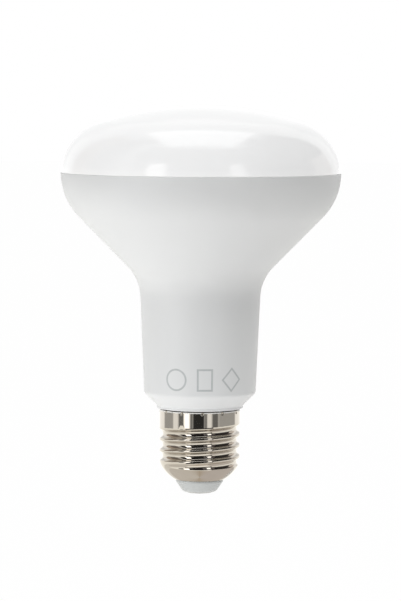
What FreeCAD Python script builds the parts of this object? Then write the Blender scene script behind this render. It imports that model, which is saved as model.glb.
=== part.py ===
import FreeCAD, Part
import math
import os

import Sketcher

# Reflector lamp with an Edison screw cap, standing on its centre contact.
# Millimetres, +Z up along the lamp's axis, origin at the tip of the centre contact.

V = FreeCAD.Vector
FULL_TURN = 360.0
UP = V(0, 0, 1)
NEAR = 0.01
POINTS_PER_TURN = 24

sizes = {
    # dome: a drafted rim, a knuckle and a shallow crown
    "seamHeight": 103.8,
    "headRadius": 45.2,
    "domeDraft": 5.0,
    "domeRimHeight": 0.6,
    "knuckleRadius": 18.2,
    "crownRise": 4.1,
    "rimWidth": 2.85,
    "tongueDepth": 4.0,
    "rebateClearance": 0.15,
    "seamBreak": 0.3,
    # housing: shoulder, straight flare, neck, bevel and collar
    "shoulderRadius": 20.4,
    "flareAngle": 44.5,
    "blendRadius": 14.7,
    "neckRadius": 18.05,
    "neckDraft": 2.5,
    "neckEdgeRadius": 1.7,
    "bevelAngle": 45.0,
    "bevelFoot": 28.6,
    "collarRadius": 13.9,
    "collarGap": 0.15,
    "collarBreak": 0.3,
    # cap: rolled lip, plain band, rolled thread and rounded foot, all of one sheet
    "capHeight": 27.55,
    "bandRadius": 13.05,
    "sheet": 0.3,
    "lipRadius": 0.6,
    "pitch": 3.629,
    "crestArc": 0.65,
    "rootArc": 1.4,
    "crestLand": 0.03,
    "landGap": 0.12,
    "runOutRise": 0.3,
    "threadDrop": 6.35,
    "grooveLead": 0.06,
    "threadFoot": 9.9,
    "threadFade": 2.4,
    "footCornerHeight": 11.8,
    "footCornerRadius": 6.5,
    "footCornerAngle": 35.0,
    "footBowlRadius": 12.5,
    "footReach": 5.15,
    # crimps that lock the shell to the housing
    "crimpCount": 12,
    "crimpRadius": 0.5,
    "crimpDepth": 0.35,
    "crimpDrop": 1.2,
    "crimpPhase": 4.0,
    # spigot of the housing inside the shell
    "fitClearance": 0.1,
    "plugDepth": 3.85,
    "spigotFoot": 9.6,
    "spigotRootClearance": 0.2,
    # insulator and centre contact
    "insulatorClearance": 0.1,
    "insulatorRim": 0.45,
    "insulatorRimEdge": 0.4,
    "insulatorDraft": 34.0,
    "insulatorLip": 2.0,
    "insulatorFoot": 0.4,
    "insulatorTop": 8.6,
    "flangeMargin": 1.45,
    "contactRadius": 4.1,
    "contactFlat": 2.4,
    "contactEdge": 0.15,
    "stemRadius": 1.3,
    "stemClearance": 0.05,
    "rivetRadius": 2.2,
    "rivetHeight": 0.6,
}

doc = FreeCAD.newDocument("ReflectorLamp")
sheet = doc.addObject("Spreadsheet::Sheet", "Sizes")
for row, (word, value) in enumerate(sizes.items(), start=1):
    sheet.set(f"A{row}", word)
    sheet.set(f"B{row}", str(value))
    sheet.setAlias(f"B{row}", word)
doc.recompute()


def size(word):
    """The value of one cell of the sheet."""
    return float(sheet.get(word))


def degrees(word):
    """An angle of the sheet, in radians."""
    return math.radians(size(word))


def below_top(word):
    """A height that the sheet gives downwards from the cap's top, to a millionth of a millimetre."""
    return round(size("capHeight") - size(word), 6)


def along(point, angle, length):
    """The point at a length from another, where the angle is measured from the lamp's axis outwards."""
    return V(point.x + length * math.sin(angle), point.y + length * math.cos(angle), 0)


def origin_part(body, role):
    """A plane or an axis of a body's own origin."""
    return next(part for part in body.Origin.OriginFeatures if part.Role == role)


# Profiles: half sections in the XZ plane, drawn anticlockwise, x as the radius and y as the height


class Profile:
    """A closed sketch on the XZ plane of a body, made of lines and arcs that follow each other."""

    def __init__(self, body, name):
        self.sketch = body.newObject("Sketcher::SketchObject", name)
        self.sketch.AttachmentSupport = [(origin_part(body, "XZ_Plane"), "")]
        self.sketch.MapMode = "FlatFace"
        self.pieces = []
        self.smooth = []

    def line(self, start, end, smooth=False):
        """A straight stretch; smooth makes it tangent to the one before."""
        index = self.sketch.addGeometry(Part.LineSegment(start, end), False)
        self.pieces.append((index, 1, 2))
        self.smooth.append(smooth)
        return index

    def arc(self, centre, radius, start, end, smooth=True):
        """An arc from one angle to another, in radians; it is hollow where the angle falls."""
        low, high = min(start, end), max(start, end)
        circle = Part.Circle(centre, UP, radius)
        index = self.sketch.addGeometry(Part.ArcOfCircle(circle, low, high), False)
        self.pieces.append((index, 1, 2) if end > start else (index, 2, 1))
        self.smooth.append(smooth)
        return index

    def close(self):
        """Join each stretch to the next, tangent where that was asked."""
        for number, (index, first, last) in enumerate(self.pieces):
            before = self.pieces[number - 1]
            kind = "Tangent" if self.smooth[number] else "Coincident"
            self.rule(kind, before[0], before[2], index, first)

    def rule(self, *terms):
        return self.sketch.addConstraint(Sketcher.Constraint(*terms))

    def bind(self, expression, *terms):
        """A measured rule whose value is an expression on the sheet."""
        number = self.rule(*terms)
        self.sketch.setExpression(f"Constraints[{number}]", expression)

    def start(self, piece):
        """The place of a stretch's first point, as the rules name it."""
        return self.pieces[piece][0], self.pieces[piece][1]

    def radius_at(self, piece, expression, value):
        self.bind(expression, "DistanceX", -1, 1, *self.start(piece), value)

    def height_at(self, piece, expression, value):
        self.bind(expression, "DistanceY", -1, 1, *self.start(piece), value)

    def slope(self, piece, expression, value):
        """The angle of a straight stretch from the horizontal, in degrees."""
        self.bind(f"({expression}) * 1 deg", "Angle", self.pieces[piece][0], math.radians(value))

    def round(self, piece, expression, value):
        self.bind(expression, "Radius", self.pieces[piece][0], value)

    def level(self, *pieces):
        for piece in pieces:
            self.rule("Horizontal", self.pieces[piece][0])

    def upright(self, *pieces):
        for piece in pieces:
            self.rule("Vertical", self.pieces[piece][0])

    def centre_on(self, arc, line):
        self.rule("PointOnObject", self.pieces[arc][0], 3, self.pieces[line][0])

    def same_centre(self, first, second):
        self.rule("Coincident", self.pieces[first][0], 3, self.pieces[second][0], 3)

    def on_axis(self, piece):
        self.rule("PointOnObject", *self.start(piece), -2)


def new_body(label):
    body = doc.addObject("PartDesign::Body", label)
    body.Label = label
    return body


def revolve(body, profile, name):
    feature = body.newObject("PartDesign::Revolution", name)
    feature.Profile = profile.sketch
    feature.ReferenceAxis = (profile.sketch, ["V_Axis"])
    feature.Angle = FULL_TURN
    doc.recompute()
    return feature


def ring_edges(feature, radius, height):
    """The names of the round edges of a feature at a radius and height."""
    names = []
    for number, edge in enumerate(feature.Shape.Edges, start=1):
        if edge.Degenerated or not edge.isClosed():
            continue
        box = edge.BoundBox
        if abs(box.XLength / 2 - radius) < NEAR and abs(box.Center.z - height) < NEAR:
            names.append(f"Edge{number}")
    return names


def break_edge(body, feature, name, radius, height, expression):
    """Break the edge of a revolved feature that lies at a radius and height."""
    chamfer = body.newObject("PartDesign::Chamfer", name)
    chamfer.Base = (feature, ring_edges(feature, radius, height))
    chamfer.setExpression("Size", expression)
    body.Tip = chamfer
    doc.recompute()
    return chamfer


# Dome: one moulding with a tongue that drops into the housing's rebate


def make_dome():
    body = new_body("diffuser_dome")
    draft = degrees("domeDraft")
    knuckle = size("knuckleRadius")
    rise = size("crownRise")
    seam = size("seamHeight")
    floor = seam - size("tongueDepth")
    tongue = size("headRadius") - size("rimWidth")
    rim = V(size("headRadius"), seam, 0)
    rim_top = V(rim.x - size("domeRimHeight") * math.tan(draft), seam + size("domeRimHeight"), 0)
    knuckle_centre = V(rim_top.x - knuckle * math.cos(draft), rim_top.y - knuckle * math.sin(draft), 0)
    # the crown is tangent to the knuckle and its highest point is rise above the knuckle's
    reach = knuckle + rise
    crown = (knuckle_centre.x**2 + reach**2 - knuckle**2) / (2 * rise)
    top = V(0, knuckle_centre.y + reach, 0)
    crown_centre = V(0, top.y - crown, 0)
    meeting = math.atan2(knuckle_centre.y - crown_centre.y, knuckle_centre.x)

    profile = Profile(body, "DomeProfile")
    profile.line(V(0, floor, 0), V(tongue, floor, 0))
    profile.line(V(tongue, floor, 0), V(tongue, seam, 0))
    profile.line(V(tongue, seam, 0), rim)
    profile.line(rim, rim_top)
    profile.arc(knuckle_centre, knuckle, draft, meeting)
    profile.arc(crown_centre, crown, meeting, math.pi / 2)
    profile.line(top, V(0, floor, 0))
    profile.close()
    profile.level(0, 2)
    profile.upright(1, 6)
    profile.on_axis(0)
    profile.height_at(0, "Sizes.seamHeight - Sizes.tongueDepth", floor)
    profile.radius_at(1, "Sizes.headRadius - Sizes.rimWidth", tongue)
    profile.height_at(2, "Sizes.seamHeight", seam)
    profile.radius_at(3, "Sizes.headRadius", rim.x)
    profile.slope(3, "90 + Sizes.domeDraft", 90 + size("domeDraft"))
    profile.height_at(4, "Sizes.seamHeight + Sizes.domeRimHeight", rim_top.y)
    profile.round(4, "Sizes.knuckleRadius", knuckle)
    profile.rule("PointOnObject", profile.pieces[5][0], 3, -2)
    lift = "Sizes.seamHeight + Sizes.domeRimHeight - Sizes.knuckleRadius * sin(Sizes.domeDraft * 1 deg)"
    profile.height_at(6, f"{lift} + Sizes.knuckleRadius + Sizes.crownRise", top.y)
    solid = revolve(body, profile, "DomeForm")
    return break_edge(body, solid, "DomeRim", rim.x, seam, "Sizes.seamBreak")


# Cap: a pressed shell whose rolled thread is a swept groove that rises out of the metal at both ends


def arc_sum():
    return size("crestArc") + size("rootArc")


def flank_angle():
    """The angle at which a groove's arc runs into the crest's arc."""
    return math.asin(size("pitch") / 2 / arc_sum())


def thread_depth():
    return arc_sum() * (1 - math.cos(flank_angle()))


ARC_SUM = "(Sizes.crestArc + Sizes.rootArc)"
DEPTH_RULE = f"({ARC_SUM} - sqrt({ARC_SUM} ^ 2 - (Sizes.pitch / 2) ^ 2))"
ROOT_BORE_RULE = f"Sizes.bandRadius - {DEPTH_RULE} - Sizes.sheet"


def root_bore():
    """The bore's radius behind the thread, one sheet inside the groove's root."""
    return size("bandRadius") - thread_depth() - size("sheet")


CORNER_TURN = "Sizes.footCornerAngle * 1 deg"
BOWL_REACH = "(Sizes.footBowlRadius - Sizes.footCornerRadius)"
BOWL_X = f"(Sizes.bandRadius - Sizes.footCornerRadius - {BOWL_REACH} * cos({CORNER_TURN}))"
BOWL_Y = f"(Sizes.footCornerHeight + {BOWL_REACH} * sin({CORNER_TURN}))"
OPENING_REACH = f"(Sizes.bandRadius - Sizes.footReach - {BOWL_X})"
EDGE_RULE = f"({BOWL_Y} - sqrt(Sizes.footBowlRadius ^ 2 - {OPENING_REACH} ^ 2))"


def foot_centres():
    """The centres of the foot's corner arc below the barrel and of the wide arc that follows it."""
    angle = degrees("footCornerAngle")
    reach = size("footBowlRadius") - size("footCornerRadius")
    corner = V(size("bandRadius") - size("footCornerRadius"), size("footCornerHeight"), 0)
    return corner, V(corner.x - reach * math.cos(angle), corner.y + reach * math.sin(angle), 0)


def below(centre, radius, angle):
    """The point of a foot arc at an angle below the level of its centre."""
    return V(centre.x + radius * math.cos(angle), centre.y - radius * math.sin(angle), 0)


def reach_angle(centre, radius, x):
    """The angle below its centre's level at which a foot arc is at a distance from the lamp's axis."""
    return math.acos((x - centre.x) / radius)


def foot_opening():
    """The angle of the opening's edge, and the radius of the opening at the sheet's inner side."""
    bowl, wide = foot_centres()[1], size("footBowlRadius")
    angle = reach_angle(bowl, wide, size("bandRadius") - size("footReach"))
    return angle, below(bowl, wide - size("sheet"), angle).x


def cap_profile(body):
    """The wall before the thread is rolled: two foot arcs, barrel, rolled lip and the stepped bore."""
    thick, lip = size("sheet"), size("lipRadius")
    band, bore = size("bandRadius"), size("bandRadius") - size("sheet")
    root, top = root_bore(), size("capHeight")
    step = below_top("plugDepth") - size("fitClearance")
    corner, bowl = foot_centres()
    turn, opening = degrees("footCornerAngle"), foot_opening()[0]
    wide, inner = size("footBowlRadius"), size("footBowlRadius") - thick
    shelf = reach_angle(bowl, inner, root)
    curl = V(band - lip, top - lip, 0)

    profile = Profile(body, "CapProfile")
    profile.arc(bowl, wide, -opening, -turn, smooth=False)
    profile.arc(corner, size("footCornerRadius"), -turn, 0)
    profile.line(V(band, corner.y, 0), V(band, curl.y, 0), smooth=True)
    profile.arc(curl, lip, 0, math.pi / 2)
    profile.line(V(curl.x, top, 0), V(curl.x, top - thick, 0))
    profile.arc(curl, lip - thick, math.pi / 2, 0, smooth=False)
    profile.line(V(bore, curl.y, 0), V(bore, step, 0), smooth=True)
    profile.line(V(bore, step, 0), V(root, step, 0))
    profile.line(V(root, step, 0), below(bowl, inner, shelf))
    profile.arc(bowl, inner, -shelf, -opening, smooth=False)
    profile.line(below(bowl, inner, opening), below(bowl, wide, opening))
    profile.close()
    profile.upright(2, 4, 6, 8)
    profile.level(7)
    profile.round(0, "Sizes.footBowlRadius", wide)
    profile.radius_at(0, "Sizes.bandRadius - Sizes.footReach", band - size("footReach"))
    meeting = below(corner, size("footCornerRadius"), turn).y
    meeting_rule = f"Sizes.footCornerHeight - Sizes.footCornerRadius * sin({CORNER_TURN})"
    profile.height_at(1, meeting_rule, meeting)
    profile.round(1, "Sizes.footCornerRadius", size("footCornerRadius"))
    profile.radius_at(2, "Sizes.bandRadius", band)
    profile.height_at(2, "Sizes.footCornerHeight", corner.y)
    profile.round(3, "Sizes.lipRadius", lip)
    profile.height_at(4, "Sizes.capHeight", top)
    profile.centre_on(3, 4)
    profile.same_centre(3, 5)
    profile.round(5, "Sizes.lipRadius - Sizes.sheet", lip - thick)
    profile.height_at(7, "Sizes.capHeight - Sizes.plugDepth - Sizes.fitClearance", step)
    profile.radius_at(8, ROOT_BORE_RULE, root)
    profile.same_centre(0, 9)
    profile.round(9, "Sizes.footBowlRadius - Sizes.sheet", inner)
    profile.centre_on(0, 10)
    return profile


def ease(value):
    """0 below 0, 1 above 1, and a smooth rise between."""
    value = min(max(value, 0.0), 1.0)
    return value * value * (3 - 2 * value)


def groove_path():
    """The line of the groove's root: a right-hand helix that leaves the barrel at both its ends."""
    pitch, fade = size("pitch"), size("threadFade")
    top = below_top("threadDrop")
    low, high = size("threadFoot") - fade, top + fade
    root = size("bandRadius") - thread_depth()
    lift = thread_depth() + size("crestLand") + size("runOutRise")
    start = round(top + size("grooveLead"), 6)
    turns = (high - low) / pitch
    count = round(turns * POINTS_PER_TURN)
    points = []
    for number in range(count + 1):
        height = low + (high - low) * number / count
        sunk = ease((high - height) / fade) * ease((height - low) / fade)
        radius = root + lift * (1 - sunk)
        turn = (height - start) / pitch * 2 * math.pi
        points.append(V(radius * math.cos(turn), radius * math.sin(turn), height))
    curve = Part.BSplineCurve()
    curve.interpolate(points)
    return curve


def groove_section(place, outward, upward):
    """The groove's section, at a place on its root: one hollow arc between halves of the crests beside it."""
    crest_arc, root_arc = size("crestArc"), size("rootArc")
    half, flank = size("pitch") / 2, flank_angle()
    # the crests' arcs reach a little past the barrel, which leaves a narrow land on each crest
    crest_level = thread_depth() + size("crestLand") - crest_arc
    stop = math.asin(size("landGap") / crest_arc)

    def at(out, up):
        return place + outward * out + upward * up

    def crest(angle, side):
        return at(crest_level + crest_arc * math.cos(angle), side * (half - crest_arc * math.sin(angle)))

    def hollow(angle):
        return at(root_arc - root_arc * math.cos(angle), root_arc * math.sin(angle))

    start = math.acos((root_arc - root_arc * math.cos(flank) - crest_level) / crest_arc)
    middle = (start + stop) / 2
    wall = thread_depth() * 2
    outer = [at(wall, side * (half - size("landGap"))) for side in (1, -1)]
    edges = [
        Part.Arc(hollow(-flank), hollow(0), hollow(flank)).toShape(),
        Part.Arc(hollow(flank), crest(middle, 1), crest(stop, 1)).toShape(),
        Part.LineSegment(crest(stop, 1), outer[0]).toShape(),
        Part.LineSegment(outer[0], outer[1]).toShape(),
        Part.LineSegment(outer[1], crest(stop, -1)).toShape(),
        Part.Arc(crest(stop, -1), crest(middle, -1), hollow(-flank)).toShape(),
    ]
    return Part.Wire(edges)


def groove_tool():
    curve = groove_path()
    place = curve.value(curve.FirstParameter)
    ahead = curve.tangent(curve.FirstParameter)[0]
    upward = ahead.cross(V(place.x, place.y, 0)).normalize()
    outward = upward.cross(ahead).normalize()
    section = groove_section(place, outward, upward)
    return Part.Wire([curve.toShape()]).makePipeShell([section], True, True)


def crimp_places():
    """The centres of the punch marks round the shell's upper edge."""
    radius = size("bandRadius") + size("crimpRadius") - size("crimpDepth")
    height = size("capHeight") - size("crimpDrop")
    count = int(size("crimpCount"))
    for number in range(count):
        angle = math.radians(size("crimpPhase") + FULL_TURN * number / count)
        yield V(radius * math.cos(angle), radius * math.sin(angle), height)


def punches(radius):
    return Part.makeCompound([Part.makeSphere(radius, place) for place in crimp_places()])


def fixed_shape(label, shape):
    item = doc.addObject("Part::Feature", label)
    item.Shape = shape
    return item


def combined(kind, label, base, tool):
    item = doc.addObject(kind, label)
    item.Base = base
    item.Tool = tool
    return item


def make_shell():
    """The wall with its thread, then each crimp: the bulge goes on inside and the dent comes off outside."""
    form = new_body("CapForm")
    revolve(form, cap_profile(form), "CapWall")
    barrel = doc.addObject("Part::Cylinder", "Barrel")
    barrel.setExpression("Radius", "Sizes.bandRadius")
    barrel.setExpression("Height", "Sizes.capHeight")
    grooved = combined("Part::Cut", "GroovedBarrel", barrel, fixed_shape("GrooveTool", groove_tool()))
    wall = combined("Part::Common", "ThreadedWall", grooved, form)

    bore = doc.addObject("Part::Cylinder", "BandBore")
    bore.setExpression("Radius", "Sizes.bandRadius - Sizes.sheet / 2")
    bore.setExpression("Height", "2 * Sizes.crimpDrop")
    bore.setExpression("Placement.Base.z", "Sizes.capHeight - 2 * Sizes.crimpDrop")
    bulge_tool = fixed_shape("BulgeTool", punches(size("crimpRadius") + size("sheet")))
    bulges = combined("Part::Common", "Bulges", bore, bulge_tool)
    bulged = combined("Part::Fuse", "BulgedWall", wall, bulges)
    dents = fixed_shape("Dents", punches(size("crimpRadius")))
    return combined("Part::Cut", "screw_shell", bulged, dents)


# Housing: flare, neck, bevel, collar and the spigot inside the cap, in one moulding


def spigot_profile(body):
    """The plug below the collar: a stub behind the thread, a full stretch in the band, a neck in the lip."""
    plug = size("bandRadius") - size("sheet") - size("fitClearance")
    neck = size("bandRadius") - size("lipRadius") - size("fitClearance")
    stub = root_bore() - size("spigotRootClearance")
    step, foot = below_top("plugDepth"), size("spigotFoot")
    ledge = size("capHeight") - size("lipRadius") - size("fitClearance")
    top = size("capHeight") + size("collarGap")

    profile = Profile(body, "SpigotProfile")
    profile.line(V(0, foot, 0), V(stub, foot, 0))
    profile.line(V(stub, foot, 0), V(stub, step, 0))
    profile.line(V(stub, step, 0), V(plug, step, 0))
    profile.line(V(plug, step, 0), V(plug, ledge, 0))
    profile.line(V(plug, ledge, 0), V(neck, ledge, 0))
    profile.line(V(neck, ledge, 0), V(neck, top, 0))
    profile.line(V(neck, top, 0), V(0, top, 0))
    profile.line(V(0, top, 0), V(0, foot, 0))
    profile.close()
    profile.level(0, 2, 4, 6)
    profile.upright(1, 3, 5, 7)
    profile.on_axis(0)
    profile.height_at(0, "Sizes.spigotFoot", foot)
    profile.radius_at(1, f"{ROOT_BORE_RULE} - Sizes.spigotRootClearance", stub)
    profile.height_at(2, "Sizes.capHeight - Sizes.plugDepth", step)
    profile.radius_at(3, "Sizes.bandRadius - Sizes.sheet - Sizes.fitClearance", plug)
    profile.height_at(4, "Sizes.capHeight - Sizes.lipRadius - Sizes.fitClearance", ledge)
    profile.radius_at(5, "Sizes.bandRadius - Sizes.lipRadius - Sizes.fitClearance", neck)
    profile.height_at(6, "Sizes.capHeight + Sizes.collarGap", top)
    return profile


def crimp_pockets(body):
    """Pockets in the spigot that the shell's crimps bite into."""
    place = next(crimp_places())
    pocket = body.newObject("PartDesign::SubtractiveSphere", "CrimpPocket")
    pocket.setExpression("Radius", "Sizes.crimpRadius + Sizes.sheet + Sizes.fitClearance")
    pocket.AttachmentSupport = [(origin_part(body, "XY_Plane"), "")]
    pocket.MapMode = "FlatFace"
    pocket.AttachmentOffset = FreeCAD.Placement(place, FreeCAD.Rotation())
    doc.recompute()
    ring = body.newObject("PartDesign::PolarPattern", "CrimpPockets")
    ring.Originals = [pocket]
    ring.Axis = (origin_part(body, "Z_Axis"), [""])
    ring.Angle = FULL_TURN
    ring.setExpression("Occurrences", "Sizes.crimpCount")
    body.Tip = ring
    doc.recompute()


def housing_profile(body):
    flare, neck_draft, bevel = degrees("flareAngle"), degrees("neckDraft"), degrees("bevelAngle")
    head, seam, shoulder = size("headRadius"), size("seamHeight"), size("shoulderRadius")
    edge, blend = size("neckEdgeRadius"), size("blendRadius")
    collar, bevel_foot = size("collarRadius"), size("bevelFoot")
    floor = size("capHeight") + size("collarGap")
    rebate = head - size("rimWidth") + size("rebateClearance")
    rebate_floor = seam - size("tongueDepth") - size("rebateClearance")

    # the rounded edge is tangent to the bevel and to the neck
    edge_x = size("neckRadius") - edge * math.cos(neck_draft)
    bevel_length = (edge_x + edge * math.cos(bevel) - collar) / math.sin(bevel)
    bevel_top = along(V(collar, bevel_foot, 0), bevel, bevel_length)
    edge_centre = V(edge_x, bevel_top.y + edge * math.sin(bevel), 0)
    neck_foot = V(size("neckRadius"), edge_centre.y - edge * math.sin(neck_draft), 0)
    # the flare is tangent to the shoulder, and the blend to the flare and the neck
    shoulder_centre = V(head - shoulder, seam, 0)
    flare_top = along(shoulder_centre, flare + math.pi / 2, shoulder)
    flare_start = flare_top.x - flare_top.y * math.tan(flare)
    neck_start = neck_foot.x - neck_foot.y * math.tan(neck_draft)
    corner_y = (neck_start - flare_start) / (math.tan(flare) - math.tan(neck_draft))
    corner = V(neck_start + corner_y * math.tan(neck_draft), corner_y, 0)
    tangent = blend * math.tan((flare - neck_draft) / 2)
    neck_top = along(corner, neck_draft, -tangent)
    flare_foot = along(corner, flare, tangent)
    blend_centre = along(neck_top, neck_draft + math.pi / 2, blend)

    profile = Profile(body, "HousingProfile")
    profile.line(V(0, floor, 0), V(collar, floor, 0))
    profile.line(V(collar, floor, 0), V(collar, bevel_foot, 0))
    profile.line(V(collar, bevel_foot, 0), bevel_top)
    profile.arc(edge_centre, edge, -bevel, -neck_draft)
    profile.line(neck_foot, neck_top, smooth=True)
    profile.arc(blend_centre, blend, math.pi - neck_draft, math.pi - flare)
    profile.line(flare_foot, flare_top, smooth=True)
    profile.arc(shoulder_centre, shoulder, -flare, 0)
    profile.line(V(head, seam, 0), V(rebate, seam, 0))
    profile.line(V(rebate, seam, 0), V(rebate, rebate_floor, 0))
    profile.line(V(rebate, rebate_floor, 0), V(0, rebate_floor, 0))
    profile.line(V(0, rebate_floor, 0), V(0, floor, 0))
    profile.close()
    profile.level(0, 8, 10)
    profile.upright(1, 9, 11)
    profile.on_axis(0)
    profile.height_at(0, "Sizes.capHeight + Sizes.collarGap", floor)
    profile.radius_at(1, "Sizes.collarRadius", collar)
    profile.height_at(2, "Sizes.bevelFoot", bevel_foot)
    profile.slope(2, "90 - Sizes.bevelAngle", 90 - size("bevelAngle"))
    profile.round(3, "Sizes.neckEdgeRadius", edge)
    profile.radius_at(4, "Sizes.neckRadius", neck_foot.x)
    profile.slope(4, "90 - Sizes.neckDraft", 90 - size("neckDraft"))
    profile.round(5, "Sizes.blendRadius", blend)
    profile.slope(6, "90 - Sizes.flareAngle", 90 - size("flareAngle"))
    profile.round(7, "Sizes.shoulderRadius", shoulder)
    profile.bind("Sizes.seamHeight", "DistanceY", -1, 1, profile.pieces[7][0], 3, seam)
    profile.radius_at(8, "Sizes.headRadius", head)
    profile.height_at(8, "Sizes.seamHeight", seam)
    profile.radius_at(9, "Sizes.headRadius - Sizes.rimWidth + Sizes.rebateClearance", rebate)
    profile.height_at(10, "Sizes.seamHeight - Sizes.tongueDepth - Sizes.rebateClearance", rebate_floor)
    return profile


def make_housing():
    body = new_body("reflector_housing")
    revolve(body, spigot_profile(body), "SpigotForm")
    crimp_pockets(body)
    solid = revolve(body, housing_profile(body), "HousingForm")
    rim = break_edge(body, solid, "HousingRim", size("headRadius"), size("seamHeight"), "Sizes.seamBreak")
    floor = size("capHeight") + size("collarGap")
    return break_edge(body, rim, "CollarEdge", size("collarRadius"), floor, "Sizes.collarBreak")


# Insulator: a cone that closes the foot, with a flange that rests inside it on the sheet


def make_insulator():
    body = new_body("cap_insulator")
    draft, clearance = degrees("insulatorDraft"), size("insulatorClearance")
    foot, top = size("insulatorFoot"), size("insulatorTop")
    bore = size("stemRadius") + size("stemClearance")
    bowl = foot_centres()[1]
    opening, throat = foot_opening()
    throat -= clearance
    seat = size("footBowlRadius") - size("sheet") - clearance
    seat_angle = reach_angle(bowl, seat, throat)
    flange = root_bore() - size("flangeMargin")
    flange_angle = reach_angle(bowl, seat, flange)
    # a short upright rim shows below the sheet's edge, then the cone, then a wide rounding to the flat foot
    rim, lip = size("insulatorRimEdge"), size("insulatorLip")
    rim_foot = below(bowl, size("footBowlRadius"), opening).y - size("insulatorRim")
    rim_centre = V(throat - rim, rim_foot, 0)
    cone_top = below(rim_centre, rim, draft)
    lip_y = foot + lip
    cone_foot_y = lip_y - lip * math.sin(draft)
    cone_foot = V(cone_top.x - (cone_top.y - cone_foot_y) * math.tan(draft), cone_foot_y, 0)
    lip_centre = V(cone_foot.x - lip * math.cos(draft), lip_y, 0)

    profile = Profile(body, "InsulatorProfile")
    profile.line(V(bore, foot, 0), V(lip_centre.x, foot, 0))
    profile.arc(lip_centre, lip, -math.pi / 2, -draft)
    profile.line(cone_foot, cone_top, smooth=True)
    profile.arc(rim_centre, rim, -draft, 0)
    profile.line(V(throat, rim_foot, 0), below(bowl, seat, seat_angle), smooth=True)
    profile.arc(bowl, seat, -seat_angle, -flange_angle, smooth=False)
    profile.line(below(bowl, seat, flange_angle), V(flange, top, 0))
    profile.line(V(flange, top, 0), V(bore, top, 0))
    profile.line(V(bore, top, 0), V(bore, foot, 0))
    profile.close()
    profile.level(0, 7)
    profile.upright(4, 6, 8)
    profile.radius_at(0, "Sizes.stemRadius + Sizes.stemClearance", bore)
    profile.height_at(0, "Sizes.insulatorFoot", foot)
    profile.round(1, "Sizes.insulatorLip", lip)
    profile.slope(2, "90 - Sizes.insulatorDraft", 90 - size("insulatorDraft"))
    profile.round(3, "Sizes.insulatorRimEdge", rim)
    inner_share = "(Sizes.footBowlRadius - Sizes.sheet) / Sizes.footBowlRadius"
    profile.radius_at(4, f"{BOWL_X} + {OPENING_REACH} * {inner_share} - Sizes.insulatorClearance", throat)
    profile.height_at(4, f"{EDGE_RULE} - Sizes.insulatorRim", rim_foot)
    seat_arc = profile.pieces[5][0]
    profile.bind(BOWL_X, "DistanceX", -1, 1, seat_arc, 3, bowl.x)
    profile.bind(BOWL_Y, "DistanceY", -1, 1, seat_arc, 3, bowl.y)
    profile.round(5, "Sizes.footBowlRadius - Sizes.sheet - Sizes.insulatorClearance", seat)
    profile.radius_at(6, f"{ROOT_BORE_RULE} - Sizes.flangeMargin", flange)
    profile.height_at(7, "Sizes.insulatorTop", top)
    return revolve(body, profile, "InsulatorForm")


# Contact: a shallow domed head with a small flat, on a stem that is upset above the insulator


def make_contact():
    body = new_body("centre_contact")
    head, flat, edge = size("contactRadius"), size("contactFlat"), size("contactEdge")
    stem, rivet = size("stemRadius"), size("rivetRadius")
    foot, top = size("insulatorFoot"), size("insulatorTop")
    rivet_top = top + size("rivetHeight")
    dome_foot = foot - edge

    profile = Profile(body, "ContactProfile")
    profile.line(V(0, 0, 0), V(flat, 0, 0))
    profile.line(V(flat, 0, 0), V(head, dome_foot, 0))
    profile.line(V(head, dome_foot, 0), V(head, foot, 0))
    profile.line(V(head, foot, 0), V(stem, foot, 0))
    profile.line(V(stem, foot, 0), V(stem, top, 0))
    profile.line(V(stem, top, 0), V(rivet, top, 0))
    profile.line(V(rivet, top, 0), V(rivet, rivet_top, 0))
    profile.line(V(rivet, rivet_top, 0), V(0, rivet_top, 0))
    profile.line(V(0, rivet_top, 0), V(0, 0, 0))
    profile.close()
    profile.level(0, 3, 5, 7)
    profile.upright(2, 4, 6, 8)
    profile.rule("Coincident", *profile.start(0), -1, 1)
    profile.radius_at(1, "Sizes.contactFlat", flat)
    profile.radius_at(2, "Sizes.contactRadius", head)
    profile.height_at(2, "Sizes.insulatorFoot - Sizes.contactEdge", dome_foot)
    profile.height_at(3, "Sizes.insulatorFoot", foot)
    profile.radius_at(4, "Sizes.stemRadius", stem)
    profile.height_at(5, "Sizes.insulatorTop", top)
    profile.radius_at(6, "Sizes.rivetRadius", rivet)
    profile.height_at(7, "Sizes.insulatorTop + Sizes.rivetHeight", rivet_top)
    return revolve(body, profile, "ContactForm")


make_dome()
make_housing()
make_shell()
make_insulator()
make_contact()
doc.recompute()

nodes = ["diffuser_dome", "reflector_housing", "screw_shell", "cap_insulator", "centre_contact"]
for item in doc.Objects:
    if "Invalid" in item.State or "Error" in item.State:
        raise RuntimeError(f"{item.Label} did not recompute: {item.State}")

os.makedirs("parts", exist_ok=True)
for node in nodes:
    shape = doc.getObjectsByLabel(node)[0].Shape
    if shape.isNull() or not shape.isValid() or len(shape.Solids) != 1:
        raise RuntimeError(f"{node} is not one valid solid")
    shape.exportStep(f"parts/{node}.step")
    print(node, f"{shape.Volume:.1f} mm3", f"{shape.BoundBox.ZMin:.2f} to {shape.BoundBox.ZMax:.2f} mm")
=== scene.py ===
import math

import bpy
import numpy as np
from mathutils import Matrix


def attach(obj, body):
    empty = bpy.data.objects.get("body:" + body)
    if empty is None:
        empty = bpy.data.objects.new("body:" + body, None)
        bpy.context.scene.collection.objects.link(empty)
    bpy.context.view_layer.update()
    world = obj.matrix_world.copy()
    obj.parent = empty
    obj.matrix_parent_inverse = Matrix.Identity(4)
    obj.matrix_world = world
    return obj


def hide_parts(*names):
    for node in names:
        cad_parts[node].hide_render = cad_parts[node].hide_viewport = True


# Reflector lamp: opal dome, satin housing and crimped screw cap
# The pieces' sizes are in millimetres until a mesh is made; looks and stage are in metres

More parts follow.
